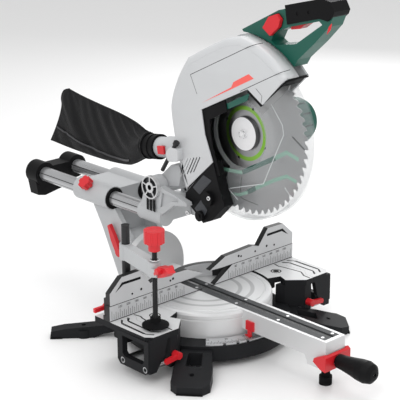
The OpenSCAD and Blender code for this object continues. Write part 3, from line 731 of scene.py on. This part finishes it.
def inner_panels(grey, bright):
    """Raised panels on the black inner cover, and the caps of the two rollers."""
    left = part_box("inner_cover")[0].x / MM
    upper = [(-36.6, 343.7), (-59, 337.2), (-26.1, 302.6), (-7.2, 312.4)]
    lower = [(-30.4, 294), (-47.1, 276.4), (-36.5, 258.6), (-11.1, 271.3)]
    piece("cover_panels", [plate([rounded(p, 3)], left - 0.9, left + 0.6, 0, 0.7)
                           for p in (upper, lower)], "head", grey, "insert_plastic")
    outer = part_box("guard_rollers")[0].x / MM
    ring = [(2.2, outer - 0.9), (4.0, outer - 0.9), (4.4, outer - 0.3), (4.4, outer + 1.0),
            (2.2, outer + 1.0)]
    for i, (y, z) in enumerate(((-59.5, 305.0), (-1.5, 262.6))):
        piece(f"roller_cap_{i}", [lathe(ring, 0, (0, y, z))], "head", bright, "bright_steel")


def handle_details(dark, red):
    """Ribs moulded into the grip, and a red accent at its front end."""
    ribs = []
    for i in range(7):
        y = -216 - 11.5 * i
        z = 668 + 0.245 * (-216 - y)
        ribs.append(plate([rounded([(y, z - 7), (y - 5.5, z - 6), (y - 7.5, z + 7),
                                    (y - 2, z + 6)], 2.4)], -8.6, -7.4, 0, 0.5))
    piece("grip_ribs", ribs, "head", dark, "black_plastic")
    accent = rounded([(-301, 641), (-309, 650), (-312, 662), (-305, 655)], 1.5)
    piece("handle_accent", [plate([accent], -6.9, -5.6, 0, 0.3)], "head", red, "red_plastic")


def dress_head():
    paint = casting("shell_paint", (0.56, 0.57, 0.58), 0.32, 0.00004)
    dark = plastic("dark_lining_and_painted_shade", BLACK, 0.55, 0.0001)
    green = plastic("green_print", GREEN, 0.4)
    coral = plastic("coral_print", (0.85, 0.12, 0.10), 0.4)
    pale = plastic("pale_print", (0.22, 0.45, 0.34), 0.45)
    bright = brushed("bright_fasteners", (0.72, 0.72, 0.73), 0.25, 0)
    grey = plastic("grey_moulding", (0.035, 0.038, 0.044), 0.45, 0.0001)
    guard_shell(paint, dark)
    guard_prints(coral, green)
    blade_prints(green, pale, dark, plastic("guard_edge", (0.62, 0.65, 0.66), 0.3))
    arbor_bolt(bright, dark)
    inner_panels(grey, bright)
    handle_details(dark, plastic("red_accent", RED, 0.4))


# ---------------------------------------------------------------- fence, tables and base
def fence_slide_marks(dark):
    """Tapered line and two screw holes on each sliding fence, drawn as dark marks on the flat face:
    painted shade of the recessed line and of the holes.
    """
    for side, body in ((-1, "fence_l"), (1, "fence_r")):
        taper = [(-231, 149), (-214.5, 165.5), (-169, 165), (-169, 160), (-212, 160.3)]
        line = taper if side < 0 else mirror_x(taper)
        meshes = [plate([line], -MARK_PROUD, 0.25, 1, 0.05)]
        for x, z in ((168, 139.5), (88, 138.5)):
            meshes.append(lathe([(0.3, -MARK_PROUD), (2.6, -MARK_PROUD), (2.6, 0.2), (0.3, 0.2)], 1,
                                (side * x, 0, z), 20))
        name = "left" if side < 0 else "right"
        piece(f"fence_recess_shade_{name}", meshes, body, dark, "black_plastic")


def fence_rule(dark):
    """Ticks every 5 mm and a number every 20 mm, counted from the kerf."""
    face = Matrix.Rotation(math.pi / 2, 4, "X")
    meshes = []
    for side in (-1, 1):
        for step in range(12, 49):
            x = side * step * 5
            high = 17 if step % 4 == 0 else 14 if step % 2 == 0 else 11
            meshes.append(plate([[(x - 0.35, 98), (x + 0.35, 98), (x + 0.35, 98 + high),
                                  (x - 0.35, 98 + high)]], -0.1, 0.2, 1, 0.03))
        for value in range(80, 221, 20):
            place = Matrix.Translation((side * value * MM, -0.08 * MM, 119.5 * MM))
            meshes.append(letters(str(value), 6.4, place @ face))
    for side in (-1, 1):
        for low, high, near in ((TABLE + 30.0, TABLE + 30.9, 44), (TABLE + 0.2, TABLE + 1.6, 12)):
            ends = sorted((side * near, side * 244.5))
            meshes.append(plate([[(ends[0], low), (ends[1], low), (ends[1], high),
                                  (ends[0], high)]], -MARK_PROUD, 0.2, 1, 0.03))
    piece("fence_rule", meshes, "base", dark, "black_plastic")


def comb_lines(dark):
    """Black zig-zag lines where the tables and their extensions mesh."""
    lines = [[(-207, -6), (-216, -17), (-217, -84), (-209, -96)],
             [(-222, -6), (-231, -17), (-232, -86), (-223, -98)]]
    table_line = [(-189, -3), (-186, -18), (-189, -26), (-196, -70), (-185, -88), (-185, -104)]
    top, under = TABLE + 0.1, TABLE - 0.3
    for side, name in ((-1, "left"), (1, "right")):
        turn = (lambda p: p) if side < 0 else mirror_x
        wing = "extension_l" if side < 0 else "extension_r"
        piece(f"comb_wing_{name}", [plate([strip(turn(line), 3.0)], under, top, 2, 0.05)
                                    for line in lines], wing, dark, "black_plastic")
        piece(f"comb_table_{name}", [plate([strip(turn(table_line), 3.0)], under, top, 2, 0.05)],
              "base", dark, "black_plastic")
        spot = (side * 163, -32, 0)
        ring = [(8.6, under), (11.0, under), (11.0, top), (8.6, top)]
        hole = [(4.6, under), (6.4, under), (6.4, top), (4.6, top)]
        piece(f"table_ring_{name}", [lathe(ring, 2, spot), lathe(hole, 2, spot)], "base", dark,
              "black_plastic")


def mitre_marks(dark):
    """Degrees on the scale ring, as ticks and figures."""
    meshes = []
    outer = 161
    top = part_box("mitre_scale")[1].z / MM
    for degree in range(-44, 45):
        a = math.radians(degree)
        inner = 152 if degree % 5 else 147
        u = Vector((math.sin(a), -math.cos(a)))
        v = Vector((u.y, -u.x)) * 0.3
        ends = [u * inner - v, u * inner + v, u * outer + v, u * outer - v]
        meshes.append(plate([[tuple(p) for p in ends]], top - 0.2, top + 0.12, 2, 0.03))
    for degree in (-45, -30, -15, 15, 30, 45):
        a = math.radians(degree * 0.95)
        place = Matrix.Translation((math.sin(a) * 141.5 * MM, -math.cos(a) * 141.5 * MM,
                                    (top + 0.05) * MM)) @ Matrix.Rotation(a, 4, "Z")
        meshes.append(letters(str(abs(degree)), 6.5, place))
    piece("mitre_ticks", meshes, "base", dark, "black_plastic")


def clamp_screw_thread(dark):
    """Rolled thread along the clamp's screw, as a real helix."""
    low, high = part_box("clamp_screw")
    centre = ((low.x + high.x) / 2 / MM, (low.y + high.y) / 2 / MM)
    start, end = 112.0, 246.0
    pitch, count = 2.6, 20
    core = 4.9
    rows = []

    def ring(r, z):
        turns = [2 * math.pi * j / count for j in range(count)]
        return [(centre[0] + r * math.cos(a), centre[1] + r * math.sin(a), z) for a in turns]

    steps = int((end - start) / 0.65)
    for i in range(steps + 1):
        z = start + (end - start) * i / steps
        row = []
        for j in range(count):
            a = 2 * math.pi * j / count
            phase = ((z / pitch) - j / count) % 1.0
            r = 4.85 - 0.9 * (1 - abs(2 * phase - 1))
            fade = min(1.0, (z - start) / 3, (end - z) / 3)
            r = core * (1 - fade) + (r + 0.25) * fade
            row.append((centre[0] + r * math.cos(a), centre[1] + r * math.sin(a), z))
        rows.append(row)
    foot = [ring(0.4, low.z / MM), ring(core, low.z / MM)]
    head = [ring(core, high.z / MM), ring(0.4, high.z / MM)]
    piece("clamp_thread", [grid(foot + rows + head, True)], "clamp_spindle", dark,
          "black_steel", "clamp_screw", angle=60)


def clamp_details(red, bright):
    """Cap on the clamp's knob, and the nut that its screw runs in."""
    low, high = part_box("clamp_knob")
    x, y = (low.x + high.x) / 2 / MM, (low.y + high.y) / 2 / MM
    top = high.z / MM
    cap = [(0.4, top + 0.1), (7.5, top + 0.1), (9.0, top - 0.6), (9.0, top - 1.5),
           (0.4, top - 1.5)]
    piece("clamp_knob_cap", [lathe(cap, 2, (x, y, 0))], "clamp_spindle", red, "red_plastic")
    arm_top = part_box("clamp_arm")[1].z / MM
    nut = [arc((x, y), 9.0, 15, 315, 5), arc((x, y), 5.5, 0, 345, 23)]
    piece("clamp_nut", [plate(nut, arm_top - 0.2, arm_top + 3.0, 2, 0.4)],
          "clamp_slide", bright, "bright_steel")


def carriage_details(dark):
    """Dark ribs under the pivot's spoked disc, and the rings of the rail bushes."""
    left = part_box("carriage")[0].x / MM
    ribs = []
    for i in range(3):
        y = 78.5 + 9.5 * i
        ribs.append(plate([rounded([(y, 247), (y + 6, 247), (y + 6, 271), (y, 271)], 1.5)],
                          left - 0.2, left + 0.5, 0, 0.1))
    piece("carriage_ribs", ribs, "slide_carriage", dark, "black_plastic")
    ring = [(15.25, 223.2), (21.5, 223.2), (22.5, 224.4), (22.5, 230.5), (15.25, 230.5)]
    piece("bush_rings", [lathe(ring, 1, (x, 0, RAIL_Z)) for x in (-43, 43)], "tilting_arm",
          dark, "black_plastic")


def grip_details(bright):
    """Screw sunk into the end of the mitre grip."""
    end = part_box("mitre_grip")[0].y / MM
    socket = [(0.3, end + 3.0), (3.2, end + 3.0), (3.6, end + 3.6), (3.6, end + 6), (0.3, end + 6)]
    piece("grip_screw", [lathe(socket, 1, (0, 0, 55.0), 24)], "twist_grip", bright,
          "bright_steel")


# ---------------------------------------------------------------- dust bag
BAG_X = (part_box("dust_bag")[0].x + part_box("dust_bag")[1].x) / 2 / MM
# Lower edge, upper edge and tail of the bag, seen from the side
BAG_LOW = [(138, 332.5), (156, 330), (186, 314), (215, 305), (293, 300), (385, 301), (464, 305)]
BAG_HIGH = [(146, 383), (164, 391), (190, 399), (236, 407), (300, 414), (356, 421), (396, 428)]
BAG_TAIL = [(396, 428), (416, 420), (423, 404), (421, 392), (427, 372), (439, 348), (464, 305)]
BAG_RING = 56
BAG_FRAMES = 46


def bag_mesh():
    """The bag as it is cut: a round mouth that flattens into two panels with a shaped tail."""
    low, high = smooth(BAG_LOW, 10), smooth(BAG_HIGH, 10)
    last = len(low) - 1
    tail = smooth(BAG_TAIL, 14)
    rows = []
    for number in range(last + 1):
        t = number / last
        half = 25.6 * (1 - t) ** 1.15 + 2.0 * t
        row = []
        for i in range(BAG_RING):
            turn = 2 * math.pi * i / BAG_RING
            share = (1 + math.cos(turn)) / 2
            spot = Vector(low[number]) + (Vector(high[number]) - Vector(low[number])) * share
            line = Vector(low[last]) + (Vector(high[last]) - Vector(low[last])) * share
            edge = Vector(tail[round((1 - share) * (len(tail) - 1))])
            spot += (edge - line) * max(0.0, (t - 0.45) / 0.55) ** 2
            row.append((BAG_X + half * math.sin(turn), spot.x, spot.y))
        rows.append(row)
    return grid(rows, True)


def inflate(bag):
    """Fills the bag with air by a short cloth simulation, and keeps the mesh it ends in.

    The collar, and the seams over the bag's wire hoop, hold still."""
    pinned = bag.vertex_groups.new(name="collar")
    total = len(bag.data.vertices) // BAG_RING
    wired = [row * BAG_RING + i for row in range(total)
             for i in (0, 1, BAG_RING // 2, BAG_RING // 2 + 1)]
    pinned.add(list(range(3 * BAG_RING)) + wired, 1.0, "REPLACE")
    pinned.add(list(range((total - 2) * BAG_RING, total * BAG_RING)), 1.0, "REPLACE")
    cloth = bag.modifiers.new("cloth", "CLOTH")
    cloth.settings.quality = 8
    cloth.settings.mass = 0.25
    cloth.settings.tension_stiffness = 30
    cloth.settings.compression_stiffness = 30
    cloth.settings.shear_stiffness = 12
    cloth.settings.bending_stiffness = 1.2
    cloth.settings.vertex_group_mass = "collar"
    cloth.settings.use_pressure = True
    cloth.settings.uniform_pressure_force = 2.4
    cloth.settings.shrink_min = -0.012
    cloth.point_cache.frame_start = 1
    cloth.point_cache.frame_end = BAG_FRAMES
    scene = bpy.context.scene
    scene.frame_start, scene.frame_end = 1, BAG_FRAMES
    for number in range(1, BAG_FRAMES + 1):
        scene.frame_set(number)
    graph = bpy.context.evaluated_depsgraph_get()
    filled = bpy.data.meshes.new_from_object(bag.evaluated_get(graph))
    bag.modifiers.remove(cloth)
    bag.data = filled
    scene.frame_set(1)


def zip_teeth(spots):
    """Teeth of the zip along the bag's lower edge, to the left and right in turn."""
    line = smooth(spots, 8)
    teeth = []
    for i in range(2, len(line) - 4):
        here, ahead = Vector(line[i]), Vector(line[i + 1])
        run = (ahead - here).normalized()
        out = Vector((-1.0, 0.0, 0.0))
        side = run.cross(out).normalized()
        centre = here + side * (-0.9 if i % 2 else 0.9) + out * 0.5
        block = bmesh.new()
        bmesh.ops.create_cube(block, size=1.0)
        matrix = Matrix([(run[k] * 1.1, side[k] * 2.0, out[k] * 1.1, centre[k])
                         for k in range(3)] + [(0, 0, 0, 1)])
        bmesh.ops.transform(block, matrix=Matrix.Scale(MM, 4) @ matrix, verts=block.verts)
        mesh = bpy.data.meshes.new("tooth")
        block.to_mesh(mesh)
        block.free()
        teeth.append(mesh)
    return teeth


def dust_bag(cloth_look, seam_look, teeth_look):
    """The fabric bag with its seams, zip and cuff."""
    bag = bpy.data.objects.new("dust_bag_cloth", bag_mesh())
    bpy.context.scene.collection.objects.link(bag)
    inflate(bag)
    spots = [v.co / MM for v in bag.data.vertices]
    total = len(spots) // BAG_RING

    def at(row, index):
        return tuple(spots[row * BAG_RING + index % BAG_RING])

    bag.data.shade_smooth()
    bag.data.materials.clear()
    bag.data.materials.append(cloth_look.material)
    finer = bag.modifiers.new("finer", "SUBSURF")
    finer.levels = finer.render_levels = 1
    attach(bag, "head")
    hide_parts("dust_bag")
    seams = [tube(smooth([at(row, 0) for row in range(2, total)], 2), 1.3),
             tube(smooth([at(row, BAG_RING // 2) for row in range(2, total)], 2), 1.3),
             tube(smooth([at(total - 1, i) for i in range(BAG_RING // 2 + 1)], 2), 1.8)]
    lower = BAG_RING // 2 + 7
    fold = [at(row, lower) for row in range(22, total - 1)]
    for rise in (-4.2, 3.4):
        seams.append(tube(smooth([(x - 0.4, y, z + rise) for x, y, z in fold], 2), 0.8))
    piece("bag_seams", seams, "head", seam_look, "bag_fabric")
    teeth = zip_teeth([(x - 0.4, y, z - 1.2) for x, y, z in fold])
    piece("bag_zip", teeth, "head", teeth_look, "black_plastic")
    band = []
    for row in (1, 2, 3):
        top, under = at(row, 0), at(row, BAG_RING // 2)
        middle = Vector((BAG_X, top[1], (top[2] + under[2]) / 2))
        ring = [Vector(at(row, i)) for i in range(BAG_RING)]
        band.append([tuple(spot + (spot - middle).normalized() * 0.5) for spot in ring])
    cuff = piece("bag_cuff", [grid(band, True)], "head", seam_look, "bag_fabric")
    cuff.modifiers.new("thick", "SOLIDIFY").thickness = 1.4 * MM


def dress_rest():
    dark = plastic("print_and_shade_black", BLACK, 0.5, 0.00004)
    red = plastic("red_cap", RED, 0.38)
    bright = brushed("bright_nut", (0.70, 0.70, 0.71), 0.25, 2)
    fence_slide_marks(dark)
    fence_rule(dark)
    comb_lines(dark)
    mitre_marks(dark)
    clamp_screw_thread(brushed("thread_black", (0.02, 0.02, 0.021), 0.4, 2, 0.7))
    clamp_details(red, bright)
    carriage_details(dark)
    grip_details(bright)
    cloth = woven("bag_weave", (0.007, 0.007, 0.0078))
    seam = woven("seam_tape", (0.004, 0.004, 0.0045))
    dust_bag(cloth, seam, plastic("zip_teeth", (0.06, 0.06, 0.065), 0.3))


def woven(name, color):
    """Plain-weave nylon: fine crossed threads with a soft sheen."""
    look = Look(name, color, 0.8, 0.0, Sheen_Weight=0.12)
    thread = 0.0009
    wave = 2 * math.pi / thread
    across = look.math("SINE", look.math("MULTIPLY", look.axis("Y"), wave))
    upright = look.math("SINE", look.math("MULTIPLY", look.axis("Z"), wave))
    look.bump(look.math("MULTIPLY", across, upright), 0.00012, 0.5)
    look.bump(look.noise(22.0, 3.0), 0.004, 0.12)
    look.vary(0.06, 60.0)
    return look


make_camera()
make_studio()
dress_nodes()
dress_head()
dress_rest()
